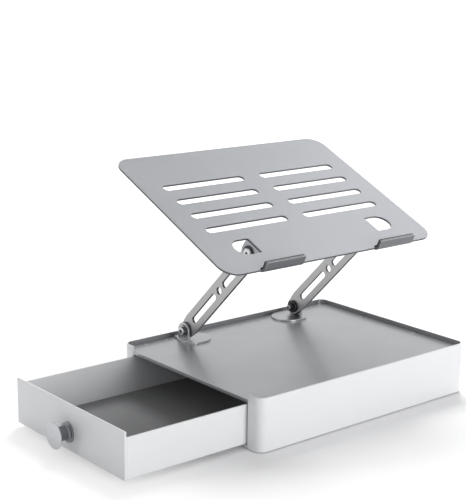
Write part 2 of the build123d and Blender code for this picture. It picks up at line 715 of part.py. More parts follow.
plate_back = Axis(plate_plane.origin, plate_plane.y_dir)
bend_start = plate_plane.from_local_coords((0, EAR_HOLE_BACK - EAR_HOLE_RADIUS, 0))
bend_section = Plane(origin=bend_start, x_dir=(1, 0, 0), z_dir=plate_plane.y_dir)
hook_inner = HOOK_BEND - HOOK_REACH + PLATE_SHEET
hook_outer_bend = HOOK_BEND + PLATE_SHEET
with BuildPart() as platform_plate:
    with BuildSketch(plate_plane.offset(-PLATE_SHEET)):
        with Locations((0, PLATE_DEPTH / 2)):
            RectangleRounded(PLATE_WIDTH, PLATE_DEPTH, PLATE_CORNER)
        with Locations(*vent_spots):
            SlotOverall(VENT_LENGTH, VENT_WIDTH, mode=Mode.SUBTRACT)
        for side in (-1, 1):
            round_x = upper_ear_outer_x + EAR_HOLE_REACH - EAR_HOLE_RADIUS
            with Locations((side * round_x, EAR_HOLE_BACK)):
                Circle(EAR_HOLE_RADIUS, mode=Mode.SUBTRACT)
            with Locations((side * (round_x + upper_ear_outer_x) / 2, EAR_HOLE_BACK)):
                Rectangle(round_x - upper_ear_outer_x, 2 * EAR_HOLE_RADIUS, mode=Mode.SUBTRACT)
    extrude(amount=PLATE_SHEET)
    sheet_edges = platform_plate.faces().sort_by(SortBy.AREA)[-2:].edges()
    fillet(sheet_edges.filter_by(beside_ear, reverse=True), PLATE_EDGE)
    for side in (-1, 1):
        ear_start = upper_ear_x if side > 0 else -upper_ear_outer_x
        with BuildSketch(plate_side.offset(ear_start)):
            with Locations((PLATE_PIVOT_BACK, -PLATE_PIVOT_DROP)):
                Circle(EAR_RADIUS)
            with Locations((EAR_HOLE_BACK, -PLATE_SHEET / 2)):
                Rectangle(2 * EAR_HOLE_RADIUS, PLATE_SHEET)
            make_hull()
        extrude(amount=PLATE_SHEET)
        with BuildSketch(plate_side.offset(ear_start)):
            with Locations((PLATE_PIVOT_BACK, -PLATE_PIVOT_DROP)):
                Circle(BOLT_RADIUS + RUNNING_GAP)
        extrude(amount=PLATE_SHEET, mode=Mode.SUBTRACT)
        with BuildSketch(bend_section):
            with Locations((side * (upper_ear_outer_x - EAR_BEND / 2), EAR_BEND / 2)):
                Rectangle(EAR_BEND, EAR_BEND)
            with Locations((side * (upper_ear_outer_x - EAR_BEND), EAR_BEND)):
                Circle(EAR_BEND, mode=Mode.SUBTRACT)
        extrude(amount=2 * EAR_HOLE_RADIUS, mode=Mode.SUBTRACT)
        with BuildSketch(plate_side.offset(side * HOOK_SPREAD / 2 - HOOK_WIDTH / 2)):
            with BuildLine():
                Polyline(
                    (hook_outer_bend, 0), (hook_inner, 0),
                )
                RadiusArc(
                    (hook_inner, 0), (hook_inner - HOOK_BEND, HOOK_BEND), HOOK_BEND
                )
                Polyline(
                    (hook_inner - HOOK_BEND, HOOK_BEND),
                    (hook_inner - HOOK_BEND, HOOK_HEIGHT),
                    (-HOOK_REACH, HOOK_HEIGHT),
                    (-HOOK_REACH, HOOK_BEND),
                )
                RadiusArc(
                    (-HOOK_REACH, HOOK_BEND), (hook_inner, -PLATE_SHEET), -hook_outer_bend
                )
                Polyline(
                    (hook_inner, -PLATE_SHEET), (hook_outer_bend, -PLATE_SHEET),
                    (hook_outer_bend, 0),
                )
            make_face()
        extrude(amount=HOOK_WIDTH)
    hook_tips = platform_plate.edges().filter_by(plate_back).filter_by(at_hook_top)
    fillet(hook_tips, HOOK_CORNER)
save(platform_plate, "platform_plate")

# Rubber pads inside the hooks
pad_bend = HOOK_BEND - PAD_THICKNESS
lip_inner = hook_inner - HOOK_BEND
for side_name, side in SIDES:
    with BuildPart() as pad:
        with BuildSketch(plate_side.offset(side * HOOK_SPREAD / 2 - PAD_LENGTH / 2)):
            with BuildLine():
                RadiusArc((hook_inner, 0), (lip_inner, HOOK_BEND), HOOK_BEND)
                Polyline(
                    (lip_inner, HOOK_BEND),
                    (lip_inner, HOOK_HEIGHT - PAD_TOP_GAP),
                    (lip_inner + PAD_THICKNESS, HOOK_HEIGHT - PAD_TOP_GAP),
                    (lip_inner + PAD_THICKNESS, HOOK_BEND),
                )
                RadiusArc(
                    (lip_inner + PAD_THICKNESS, HOOK_BEND), (hook_inner, PAD_THICKNESS), -pad_bend
                )
                Line((hook_inner, PAD_THICKNESS), (hook_inner, 0))
            make_face()
        extrude(amount=PAD_LENGTH)
    save(pad, f"hook_pad_{side_name}")

# Upper pivots: bolt, washer, friction washer, disc spring and nut
upper_head_x = upper_ear_outer_x + UPPER_WASHER
upper_spring_x = ARM_INNER_X - SLIP_GAP - UPPER_SPRING
upper_nut_x = upper_spring_x - NUT_THICKNESS
for side_name, side in SIDES:
    pieces = {
        "upper_bolt": bolt(
            side, upper_head_x, UPPER_HEAD_RADIUS, UPPER_HEAD, upper_nut_x - BOLT_END, upper_pivot
        ),
        "upper_washer": washer(
            side, upper_ear_outer_x + SLIP_GAP, UPPER_WASHER - SLIP_GAP, UPPER_WASHER_RADIUS,
            upper_pivot,
        ),
        "friction_washer": washer(
            side, arm_outer_x + SLIP_GAP, UPPER_GAP - 2 * SLIP_GAP, SPACER_RADIUS, upper_pivot
        ),
        "upper_spring": washer(
            side, upper_spring_x, UPPER_SPRING, DISC_SPRING_RADIUS, upper_pivot, rounded=True
        ),
        "upper_nut": nut(side, upper_nut_x, upper_pivot),
    }
    for name, piece in pieces.items():
        save(piece, f"{name}_{side_name}")
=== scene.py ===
"""Laptop stand with a drawer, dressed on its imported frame: its finishes, light and view."""
from math import cos, pi, radians, sin

import bpy
from mathutils import Matrix, Vector


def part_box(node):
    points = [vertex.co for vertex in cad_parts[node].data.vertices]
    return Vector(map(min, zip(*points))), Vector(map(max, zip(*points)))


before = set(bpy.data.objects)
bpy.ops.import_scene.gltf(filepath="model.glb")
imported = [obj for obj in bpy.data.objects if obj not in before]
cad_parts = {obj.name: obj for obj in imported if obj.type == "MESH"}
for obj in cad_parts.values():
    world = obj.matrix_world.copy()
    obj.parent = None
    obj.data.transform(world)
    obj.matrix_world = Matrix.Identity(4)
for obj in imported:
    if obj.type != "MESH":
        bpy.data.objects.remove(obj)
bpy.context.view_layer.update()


# The box shell is one strip of 1.6 mm steel, folded round the front, right and back with a
# short return at each end of the drawer opening. It is powder coated satin white after
# welding, with a very fine orange peel. Its edges are painted a little brighter as a
# highlight, and the inner faces of its walls are painted dark grey as shade.
class Wire:
    """A number or colour on its way through the nodes; sums on numbers add Math nodes."""

    def __init__(self, nodes, socket):
        self.nodes = nodes
        self.socket = socket

    def math(self, operation, *values):
        """A Math node on some values, of which this may be one."""
        settings = {"operation": operation}
        return self.nodes.node("ShaderNodeMath", settings, dict(enumerate(values)))

    def __add__(self, other):
        return self.math("ADD", self, other)

    def __radd__(self, other):
        return self.math("ADD", other, self)

    def __sub__(self, other):
        return self.math("SUBTRACT", self, other)

    def __rsub__(self, other):
        return self.math("SUBTRACT", other, self)

    def __mul__(self, other):
        return self.math("MULTIPLY", self, other)

    def __rmul__(self, other):
        return self.math("MULTIPLY", other, self)

    def __truediv__(self, other):
        return self.math("DIVIDE", self, other)

    def __gt__(self, other):
        return self.math("GREATER_THAN", self, other)

    def __lt__(self, other):
        return self.math("LESS_THAN", self, other)

    def __pow__(self, other):
        return self.math("POWER", self, other)

    def __abs__(self):
        return self.math("ABSOLUTE", self)

    def sine(self):
        """The sine of the number, taken in radians."""
        return self.math("SINE", self)

    def limited(self):
        """The number held between 0 and 1."""
        return self.math("MINIMUM", self.math("MAXIMUM", self, 0.0), 1.0)

    def swing(self, width):
        """An even noise made into a swing of one width about zero."""
        return (self - 0.5) * width


class Nodes:
    """A tree of shader nodes, filled one node at a time."""

    def __init__(self, tree):
        self.tree = tree

    def node(self, kind, settings, values, output=0):
        """A node of one kind with its settings, then its sockets' values or links."""
        made = self.tree.nodes.new(kind)
        for setting, value in settings.items():
            setattr(made, setting, value)
        for socket, value in values.items():
            self.feed(made.inputs[socket], value)
        return Wire(self, made.outputs[output])

    def feed(self, socket, value):
        """Link or set one socket."""
        if isinstance(value, Wire):
            self.tree.links.new(value.socket, socket)
        else:
            socket.default_value = value

    def vector(self, operation, *values, output=0):
        """A sum on places or directions."""
        settings = {"operation": operation}
        return self.node("ShaderNodeVectorMath", settings, dict(enumerate(values)), output)


MILLIMETRES = 1000.0
ROUNDING_SAMPLES = 6
EDGE_GAIN = 5.0
MIX_SHARE, MIX_FIRST, MIX_SECOND, MIX_COLOUR = 0, 6, 7, 2


class Finish(Nodes):
    """One surface finish: a shader, and the nodes that vary it over the piece."""

    def __init__(self, name, constants):
        self.material = bpy.data.materials.new(name)
        self.material.use_nodes = True
        super().__init__(self.material.node_tree)
        self.shader = self.tree.nodes["Principled BSDF"]
        for socket, value in constants.items():
            self.shader.inputs[socket].default_value = value

    def vary(self, socket, value):
        """Let a value change over the surface on one socket of the shader."""
        self.feed(self.shader.inputs[socket], value)

    def place(self, stretch=(1.0, 1.0, 1.0), turn=(0.0, 0.0, 0.0)):
        """Where a point lies on the piece, in millimetres, turned and then stretched."""
        point = self.node("ShaderNodeTexCoord", {}, {}, "Object")
        sizes = [MILLIMETRES * share for share in stretch]
        return self.node(
            "ShaderNodeMapping",
            {"vector_type": "POINT"},
            {"Vector": point, "Rotation": turn, "Scale": sizes},
        )

    def part_of(self, point, axis):
        """One coordinate of a place."""
        return self.node("ShaderNodeSeparateXYZ", {}, {"Vector": point}, axis)

    def noise(self, point, size, detail=2.0, roughness=0.5):
        """Even noise from 0 to 1 whose grains are about one size in millimetres."""
        return self.node(
            "ShaderNodeTexNoise",
            {},
            {"Vector": point, "Scale": 1.0 / size, "Detail": detail, "Roughness": roughness},
        )

    def mix(self, share, first, second):
        """A colour between two colours."""
        return self.node(
            "ShaderNodeMix",
            {"data_type": "RGBA"},
            {MIX_SHARE: share, MIX_FIRST: first, MIX_SECOND: second},
            MIX_COLOUR,
        )

    def rounded(self, radius):
        """Normals that round every sharp edge to a radius in millimetres."""
        return self.node(
            "ShaderNodeBevel", {"samples": ROUNDING_SAMPLES}, {"Radius": radius / MILLIMETRES}
        )

    def edge(self, normals):
        """1 on the rounded edges and 0 on the flats."""
        flat = self.node("ShaderNodeNewGeometry", {}, {}, "True Normal")
        along = self.vector("DOT_PRODUCT", normals, flat, output="Value")
        return ((1 - along) * EDGE_GAIN).limited()

    def relief(self, height, depth, normals):
        """Bump of a depth in millimetres laid over the rounded edges."""
        self.vary(
            "Normal",
            self.node(
                "ShaderNodeBump",
                {},
                {
                    "Height": height,
                    "Distance": depth / MILLIMETRES,
                    "Strength": 1.0,
                    "Normal": normals,
                },
            ),
        )


def dress(finish, *nodes):
    """Put a finish on frame nodes as they are."""
    for name in nodes:
        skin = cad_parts[name].data
        skin.materials.clear()
        skin.materials.append(finish.material)


POWDER_PEEL = 0.9
POWDER_DEPTH = 0.006
POWDER_CLOUD = 60.0
POWDER_SPECK = 0.35
SPECKS_ABOVE = 0.71
CLOUD_SHADE, CLOUD_SHARE = 0.955, 0.6
SPECK_SHADE, SPECK_SHARE = 0.9, 0.25
EDGE_HIGHLIGHT_SHARE = 0.7
CLOUD_SWING, PEEL_SWING, RUBBED_POLISH = 0.12, 0.1, 0.08
INNER_SHADE = (0.24, 0.245, 0.255, 1.0)
INNER_SHADE_METALLIC = 0.5
INNER_SHADE_DEPTH = 0.9


def darker(colour, shade):
    """A colour with a share of its light."""
    return [shade * part for part in colour[:3]] + [1.0]


def inner_faces(coat, place, size, corner, sheet):
    """1 on the inner faces of a sheet that runs round a box with round corners."""
    straight = [length / 2 - corner for length in size] + [0.0]
    level = coat.vector("ABSOLUTE", coat.vector("MULTIPLY", place, (1.0, 1.0, 0.0)))
    past = coat.vector("MAXIMUM", coat.vector("SUBTRACT", level, straight), (0.0, 0.0, 0.0))
    return coat.vector("LENGTH", past, output="Value") < corner - INNER_SHADE_DEPTH * sheet


def powder_coat(name, colour, edge_highlight, roughness, rounding=0.7, shaded_inside=None):
    """Satin powder coat: orange peel, faint clouds, edges painted brighter as a highlight; inner
    faces painted dark as shade.
    """
    coat = Finish(name, {"Coat Weight": 0.12, "Coat Roughness": 0.25, "IOR": 1.5})
    place = coat.place()
    clouds = coat.noise(place, POWDER_CLOUD, detail=3.0)
    peel = coat.noise(place, POWDER_PEEL, detail=2.0)
    specks = coat.noise(place, POWDER_SPECK, detail=1.0) > SPECKS_ABOVE
    normals = coat.rounded(rounding)
    edge = coat.edge(normals)
    shade = coat.mix(clouds * CLOUD_SHARE, colour, darker(colour, CLOUD_SHADE))
    shade = coat.mix(specks * SPECK_SHARE, shade, darker(colour, SPECK_SHADE))
    # Edges are painted brighter: a painted highlight.
    shade = coat.mix(edge * EDGE_HIGHLIGHT_SHARE, shade, edge_highlight)
    # The shell's inner faces are painted dark grey and partly metallic: painted shade.
    if shaded_inside:
        inner_shade = inner_faces(coat, place, *shaded_inside)
        shade = coat.mix(inner_shade, shade, INNER_SHADE)
        coat.vary("Metallic", inner_shade * INNER_SHADE_METALLIC)
    coat.vary("Base Color", shade)
    dull = roughness + clouds.swing(CLOUD_SWING) + peel.swing(PEEL_SWING)
    coat.vary("Roughness", dull - edge * RUBBED_POLISH)
    coat.relief(peel, POWDER_DEPTH, normals)
    return coat


WHITE = (0.80, 0.81, 0.825, 1.0)
WHITE_EDGE_HIGHLIGHT = (0.97, 0.97, 0.97, 1.0)
WHITE_ROUGHNESS = 0.42
SHELL_SIZE = (290.0, 222.0)
SHELL_CORNER = 9.2
SHELL_SHEET = 1.6
white_coat = powder_coat("white_powder_coat", WHITE, WHITE_EDGE_HIGHLIGHT, WHITE_ROUGHNESS)
shell_coat = powder_coat(
    "shell_powder_coat",
    WHITE,
    WHITE_EDGE_HIGHLIGHT,
    WHITE_ROUGHNESS,
    shaded_inside=(SHELL_SIZE, SHELL_CORNER, SHELL_SHEET),
)
dress(shell_coat, "base_shell")


# The bottom sheet closes the box from below; its edge turns up under the drawer. Inside,
# three angle strips for the tray, two drawer guides and the stop bar are spot welded on
# and coated together with the shell, so they carry the same white.
dress(white_coat, "base_floor", "tray_ledge_front", "tray_ledge_back", "tray_ledge_right")
dress(white_coat, "drawer_guide_front", "drawer_guide_back", "drawer_stop")


# Four round rubber feet, moulded in black and stuck under the corners. They are matt with
# a fine grain, a little dusty and polished grey on the rim where they rub on the table.
RUBBER = (0.022, 0.022, 0.024, 1.0)
RUBBER_DUST = (0.075, 0.073, 0.07, 1.0)
RUBBER_GRAIN = 0.45
RUBBER_DEPTH = 0.03
RUBBER_ROUNDING = 0.4
RUBBER_ROUGHNESS, RUBBER_SWING = 0.62, 0.3
DUST_PATCH = 7.0
DUST_ABOVE, DUST_GAIN = 0.48, 3.0
DUST_SHARE, RIM_SHARE = 0.35, 0.3
rubber = Finish("black_rubber", {"Specular IOR Level": 0.35})
rubber_place = rubber.place()
rubber_grain = rubber.noise(rubber_place, RUBBER_GRAIN, detail=3.0, roughness=0.6)
rubber_dust = rubber.noise(rubber_place, DUST_PATCH, detail=4.0, roughness=0.6)
rubber_normals = rubber.rounded(RUBBER_ROUNDING)
rubber_dusty = ((rubber_dust - DUST_ABOVE) * DUST_GAIN).limited()
rubber_marks = rubber_dusty * DUST_SHARE + rubber.edge(rubber_normals) * RIM_SHARE
rubber.vary("Base Color", rubber.mix(rubber_marks.limited(), RUBBER, RUBBER_DUST))
rubber.vary("Roughness", RUBBER_ROUGHNESS + rubber_grain.swing(RUBBER_SWING))
rubber.relief(rubber_grain, RUBBER_DEPTH, rubber_normals)
dress(rubber, "rubber_feet")


# Two nylon strips on the floor that the drawer slides on. The natural nylon is milky and
# slightly waxy, and rubbed smooth in long lines by the drawer.
NYLON = (0.74, 0.73, 0.69, 1.0)
NYLON_RUBBED = (0.62, 0.61, 0.585, 1.0)
NYLON_ALONG = (0.02, 1.0, 1.0)
NYLON_LINE = 0.8
NYLON_CLOUD = 9.0
NYLON_DEPTH = 0.01
NYLON_ROUNDING = 0.3
NYLON_ROUGHNESS, NYLON_DULLER = 0.3, 0.25
nylon = Finish("natural_nylon", {"IOR": 1.53, "Subsurface Weight": 0.08})
nylon_streaks = nylon.noise(nylon.place(NYLON_ALONG), NYLON_LINE, detail=3.0)
nylon_clouds = nylon.noise(nylon.place(), NYLON_CLOUD, detail=2.0)
nylon.vary("Base Color", nylon.mix(nylon_streaks * nylon_clouds, NYLON, NYLON_RUBBED))
nylon.vary("Roughness", NYLON_ROUGHNESS + nylon_streaks * NYLON_DULLER)
nylon.relief(nylon_streaks, NYLON_DEPTH, nylon.rounded(NYLON_ROUNDING))
dress(nylon, "drawer_glides")


# The tray is a loose silver sheet, sunk below the rim and riveted down on the ledges. Its
# left edge turns down over the drawer. The silver is a fine metallic lacquer, brushed
# along the box before it was sprayed, and glossy enough to mirror what stands on it.
SILVER = (0.36, 0.365, 0.38, 1.0)
SILVER_BRIGHT = (0.50, 0.505, 0.515, 1.0)
SILVER_DULL = (0.29, 0.295, 0.31, 1.0)
SILVER_ALONG = (0.015, 1.0, 1.0)
SILVER_LINE = 0.35
SILVER_FLAKE = 0.25
SILVER_CLOUD = 45.0
SILVER_DEPTH = 0.0025
SILVER_ROUNDING = 0.5
SILVER_ROUGHNESS, SILVER_LINE_DULL, SILVER_SWING = 0.3, 0.12, 0.1
FLAKES_ABOVE = 0.66
LINE_SHARE, DULL_SHARE, FLAKE_SHARE, TRAY_EDGE_HIGHLIGHT_SHARE = 0.55, 0.4, 0.3, 0.8
silver = Finish("silver_lacquer", {"Coat Weight": 0.35, "Coat Roughness": 0.16, "Metallic": 0.75})
silver_lines = silver.noise(silver.place(SILVER_ALONG), SILVER_LINE, detail=3.0, roughness=0.65)
silver_flakes = silver.noise(silver.place(), SILVER_FLAKE, detail=1.0) > FLAKES_ABOVE
silver_clouds = silver.noise(silver.place(), SILVER_CLOUD, detail=3.0)
silver_normals = silver.rounded(SILVER_ROUNDING)
silver_edge_highlight = silver.edge(silver_normals)
silver_shade = silver.mix(silver_lines * LINE_SHARE, SILVER, SILVER_BRIGHT)
silver_shade = silver.mix(silver_clouds * DULL_SHARE, silver_shade, SILVER_DULL)
silver_shade = silver.mix(silver_flakes * FLAKE_SHARE, silver_shade, SILVER_BRIGHT)
# The tray's edges are painted brighter: a painted highlight.
silver_shade = silver.mix(silver_edge_highlight * TRAY_EDGE_HIGHLIGHT_SHARE, silver_shade, SILVER_BRIGHT)
silver.vary("Base Color", silver_shade)
silver_dull = SILVER_ROUGHNESS + silver_lines * SILVER_LINE_DULL
silver.vary("Roughness", silver_dull + silver_clouds.swing(SILVER_SWING))
silver.relief(silver_lines, SILVER_DEPTH, silver_normals)
dress(silver, "tray_top")


# Ten low rivets hold the tray, two hold the drawer's front panel and one screw the knob;
# six screws hold the brackets. They are zinc-plated steel: grey white and softly bright,
# with the faint mottle of the plating and marks from the tool; their edges are painted
# brighter as a highlight.
ZINC = (0.60, 0.605, 0.61, 1.0)
ZINC_MOTTLE = (0.45, 0.455, 0.47, 1.0)
ZINC_EDGE_HIGHLIGHT = (0.78, 0.78, 0.78, 1.0)
ZINC_EDGE_HIGHLIGHT_SHARE = 0.6
ZINC_PATCH = 1.1
ZINC_ROUNDING = 0.25
ZINC_ROUGHNESS, ZINC_DULLER = 0.22, 0.22
TOOL_ALONG = (1.0, 0.2, 1.0)
TOOL_MARK = 0.2
TOOL_DEPTH = 0.004
SOCKET_SHADE_AND_OIL = (0.03, 0.031, 0.034, 1.0)
SOCKET_SHADE_AND_OIL_SHARE = 0.85
OIL_LINE = 0.3


def off_axis(finish, point, centre):
    """How far a place lies from an axis along the box, given the axis's own y and z."""
    y = finish.part_of(point, "Y") - centre[0]
    z = finish.part_of(point, "Z") - centre[1]
    return (y * y + z * z) ** 0.5


def plated(name, centre=None, socket=0.0, joints=()):
    """Zinc plating with edges painted brighter as a highlight; round a pivot, the socket is
    painted dark as shade and the joint lines are dark with oil.
    """
    plating = Finish(name, {"Metallic": 1.0})
    place = plating.place()
    mottle = plating.noise(place, ZINC_PATCH, detail=4.0, roughness=0.65)
    tool = plating.noise(plating.place(TOOL_ALONG), TOOL_MARK, detail=2.0)
    normals = plating.rounded(ZINC_ROUNDING)
    shade = plating.mix(mottle, ZINC, ZINC_MOTTLE)
    # Edges are painted brighter: a painted highlight.
    shade = plating.mix(plating.edge(normals) * ZINC_EDGE_HIGHLIGHT_SHARE, shade, ZINC_EDGE_HIGHLIGHT)
    if centre:
        radius = off_axis(plating, place, centre)
        # The socket is painted dark as shade; the joint rings are dark with oil.
        socket_shade_and_oil = radius < socket
        for joint in joints:
            socket_shade_and_oil = socket_shade_and_oil + (abs(radius - joint) < OIL_LINE)
        shade = plating.mix(socket_shade_and_oil.limited() * SOCKET_SHADE_AND_OIL_SHARE, shade, SOCKET_SHADE_AND_OIL)
    plating.vary("Base Color", shade)
    plating.vary("Roughness", ZINC_ROUGHNESS + mottle * ZINC_DULLER)
    plating.relief(tool, TOOL_DEPTH, normals)
    return plating


zinc = plated("zinc_plated_steel")
dress(zinc, "tray_rivets", "drawer_rivets", "knob_screw", "bracket_screws")


# The drawer is a folded steel box with a taller flat panel riveted on its front. Both are
# coated like the shell, the panel a shade cooler, and its cut edges are painted bright as a
# highlight.
PANEL = (0.84, 0.85, 0.865, 1.0)
PANEL_EDGE_HIGHLIGHT = (0.99, 0.99, 0.99, 1.0)
PANEL_ROUGHNESS = 0.38
PANEL_ROUNDING = 1.3
panel_coat = powder_coat("panel_powder_coat", PANEL, PANEL_EDGE_HIGHLIGHT, PANEL_ROUGHNESS, PANEL_ROUNDING)
dress(white_coat, "drawer_box")
dress(panel_coat, "drawer_front")


# A grey foam sheet lies loose on the drawer's floor, cut with round corners. Closed-cell
# foam is matt, with fine pores, soft clouds and a few flattened patches. Its dark grey also
# stands in for the shade deep in the drawer: partly painted shade.
FOAM_AND_SHADE_GREY = (0.17, 0.172, 0.176, 1.0)
FOAM_PALE = (0.235, 0.237, 0.24, 1.0)
FOAM_PORE = (0.11, 0.11, 0.113, 1.0)
PORE = 0.55
PORES_ABOVE, PORE_SHARE = 0.62, 0.4
FOAM_CLOUD = 30.0
FOAM_DEPTH = 0.05
FOAM_ROUNDING = 0.4
FOAM_ROUGHNESS, FOAM_SWING = 0.72, 0.2
foam = Finish("grey_foam", {"Specular IOR Level": 0.3, "Sheen Weight": 0.15})
foam_pores = foam.noise(foam.place(), PORE, detail=3.0, roughness=0.65)
foam_clouds = foam.noise(foam.place(), FOAM_CLOUD, detail=4.0)
foam_shade = foam.mix(foam_clouds, FOAM_AND_SHADE_GREY, FOAM_PALE)
foam_shade = foam.mix((foam_pores > PORES_ABOVE) * PORE_SHARE, foam_shade, FOAM_PORE)
foam.vary("Base Color", foam_shade)
foam.vary("Roughness", FOAM_ROUGHNESS + foam_clouds.swing(FOAM_SWING))
foam.relief(foam_pores, FOAM_DEPTH, foam.rounded(FOAM_ROUNDING))
dress(foam, "drawer_liner")


# The knob is turned from steel bar: a round head on a waisted neck with a flared foot. The
# tool leaves rings on the shallow dome, and the flank is satin. The waist is painted darker as
# shade under the head, and the rim is painted bright as a highlight.
STEEL = (0.47, 0.48, 0.50, 1.0)
STEEL_RING = (0.38, 0.39, 0.415, 1.0)
STEEL_WAIST_SHADE = (0.13, 0.135, 0.15, 1.0)
STEEL_RIM_HIGHLIGHT = (0.82, 0.825, 0.83, 1.0)
STEEL_CLOUD = 3.0
STEEL_ROUNDING = 0.5
STEEL_ROUGHNESS, STEEL_DULLER = 0.3, 0.14
TURNING_PITCH = 0.45
TURNING_DEPTH = 0.004
RING_SHARE, WAIST_SHADE_SHARE, STEEL_RIM_HIGHLIGHT_SHARE = 0.25, 0.8, 0.85
WAIST_FROM = 2.4
WAIST_BLEND = 2.0
knob_low, knob_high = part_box("drawer_knob")
knob_middle = [(low + high) / 2 * MILLIMETRES for low, high in zip(knob_low, knob_high)]
steel = Finish("turned_steel", {"Metallic": 1.0})
steel_place = steel.place()
steel_turns = off_axis(steel, steel_place, knob_middle[1:]) * (2 * pi / TURNING_PITCH)
steel_rings = steel_turns.sine()
steel_cloud = steel.noise(steel_place, STEEL_CLOUD, detail=3.0)
steel_normals = steel.rounded(STEEL_ROUNDING)
steel_edge = steel.edge(steel_normals)
steel_shade = steel.mix(steel_rings * RING_SHARE + RING_SHARE, STEEL, STEEL_RING)
waist_x = knob_low[0] * MILLIMETRES + WAIST_FROM
# The waist is painted darker: painted shade under the head.
steel_waist_shade = steel.node(
    "ShaderNodeMapRange",
    {"interpolation_type": "SMOOTHSTEP"},
    {
        "Value": steel.part_of(steel_place, "X"),
        "From Min": waist_x,
        "From Max": waist_x + WAIST_BLEND,
    },
)
steel_shade = steel.mix(steel_waist_shade * WAIST_SHADE_SHARE, steel_shade, STEEL_WAIST_SHADE)
# The rim is painted bright: a painted highlight.
steel.vary("Base Color", steel.mix(steel_edge * STEEL_RIM_HIGHLIGHT_SHARE, steel_shade, STEEL_RIM_HIGHLIGHT))
steel.vary("Roughness", STEEL_ROUGHNESS + steel_cloud * STEEL_DULLER)
steel.relief(steel_rings, TURNING_DEPTH, steel_normals)
dress(steel, "drawer_knob")


# Hinge brackets and the bar under the tray are stamped from 2.2 mm steel and sprayed with
# silver. The blanked edge is rougher than the face, and is painted a little brighter as a
# highlight.
STAMPED = (0.42, 0.425, 0.435, 1.0)
STAMPED_DULL = (0.34, 0.345, 0.36, 1.0)
STAMPED_EDGE_HIGHLIGHT = (0.74, 0.745, 0.75, 1.0)
STAMPED_DULL_SHARE = 0.5
STAMPED_GRAIN = 0.4
STAMPED_CLOUD = 14.0
STAMPED_DEPTH = 0.004
STAMPED_ROUNDING = 0.6
STAMPED_ROUGHNESS, STAMPED_DULLER, BLANKED_DULLER = 0.27, 0.14, 0.08
stamped = Finish("stamped_silver_steel", {"Metallic": 0.9, "Coat Weight": 0.2})
stamped_grain = stamped.noise(stamped.place(), STAMPED_GRAIN, detail=3.0, roughness=0.6)
stamped_clouds = stamped.noise(stamped.place(), STAMPED_CLOUD, detail=3.0)
stamped_normals = stamped.rounded(STAMPED_ROUNDING)
stamped_edge = stamped.edge(stamped_normals)
stamped_shade = stamped.mix(stamped_clouds * STAMPED_DULL_SHARE, STAMPED, STAMPED_DULL)
# The blanked edge is painted brighter: a painted highlight.
stamped.vary("Base Color", stamped.mix(stamped_edge, stamped_shade, STAMPED_EDGE_HIGHLIGHT))
stamped_dull = STAMPED_ROUGHNESS + stamped_grain * STAMPED_DULLER
stamped.vary("Roughness", stamped_dull + stamped_edge * BLANKED_DULLER)
stamped.relief(stamped_grain, STAMPED_DEPTH, stamped_normals)
dress(stamped, "hinge_bracket_left", "hinge_bracket_right", "hinge_stiffener")


# The arms are blanked from 3 mm aluminium bar, with two long slots and a round hole. They
# are brushed lengthwise and clear anodised; the rims are painted brighter as a highlight, and
# the cut faces of the slots and ends are painted dark as shade.
ARM = (0.29, 0.29, 0.295, 1.0)
ARM_LINE = (0.40, 0.40, 0.405, 1.0)
ARM_EDGE_HIGHLIGHT = (0.55, 0.55, 0.555, 1.0)
ARM_CUT_SHADE = (0.05, 0.05, 0.053, 1.0)
ARM_RISE = radians(45.0)
ARM_ALONG = (1.0, 0.02, 1.0)
ARM_CUT_FROM = 76.8
ARM_CUT_TO = 79.2
ARM_EDGE_HIGHLIGHT_SHARE, ARM_CUT_SHADE_SHARE = 0.8, 0.8
BRUSHED_LINE = 0.3
BRUSHED_CLOUD = 18.0
BRUSHED_DEPTH = 0.004
BRUSHED_ROUNDING = 0.5
BRUSHED_ROUGHNESS, BRUSHED_DULLER, BRUSHED_SWING = 0.26, 0.16, 0.08
brushed = Finish("brushed_aluminium", {"Metallic": 1.0})
arm_lengthwise = brushed.place(ARM_ALONG, (ARM_RISE, 0.0, 0.0))
arm_lines = brushed.noise(arm_lengthwise, BRUSHED_LINE, detail=3.0, roughness=0.7)
arm_clouds = brushed.noise(brushed.place(), BRUSHED_CLOUD, detail=3.0)
arm_normals = brushed.rounded(BRUSHED_ROUNDING)
arm_aside = abs(brushed.part_of(brushed.place(), "X"))
arm_cut_shade = (arm_aside > ARM_CUT_FROM) * (arm_aside < ARM_CUT_TO)
arm_shade = brushed.mix(arm_lines, ARM, ARM_LINE)
# Rims are painted brighter: a painted highlight.
arm_shade = brushed.mix(brushed.edge(arm_normals) * ARM_EDGE_HIGHLIGHT_SHARE, arm_shade, ARM_EDGE_HIGHLIGHT)
# Cut faces are painted dark: painted shade.
brushed.vary("Base Color", brushed.mix(arm_cut_shade * ARM_CUT_SHADE_SHARE, arm_shade, ARM_CUT_SHADE))
arm_dull = BRUSHED_ROUGHNESS + arm_lines * BRUSHED_DULLER
brushed.vary("Roughness", arm_dull + arm_clouds.swing(BRUSHED_SWING))
brushed.relief(arm_lines, BRUSHED_DEPTH, arm_normals)
dress(brushed, "arm_left", "arm_right")


